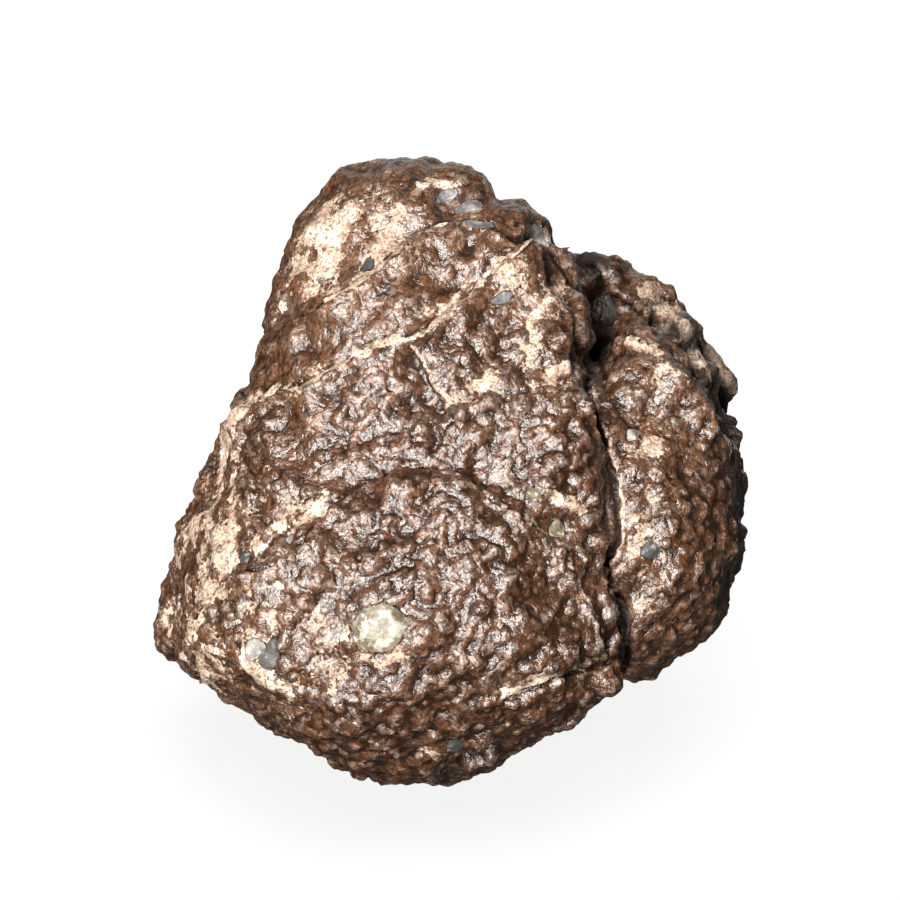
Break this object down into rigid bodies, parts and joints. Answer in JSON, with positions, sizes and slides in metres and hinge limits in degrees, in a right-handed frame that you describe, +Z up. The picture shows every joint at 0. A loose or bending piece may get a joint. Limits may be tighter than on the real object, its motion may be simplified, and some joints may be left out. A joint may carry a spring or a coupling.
{
  "type": "meteorite",
  "caption": "Weathered stony meteorite: dark, knobbly, wind-polished stone with ledges, a fissure and pale crust, resting on a flat broken foot.",
  "frame": {"origin": "middle of the bounding box, at the level of the flat foot that the stone rests on", "axes": "+Z up; the side that the picture shows faces -Y, +X is to its right"},
  "size_m": [0.0656, 0.065, 0.0666],
  "materials": {
    "stone": "semi-gloss dark brown desert varnish over knobbly stone, with matt cream crust in the hollows"
  },
  "bodies": {
    "root": {"stone": "stone"}
  },
  "joints": []
}
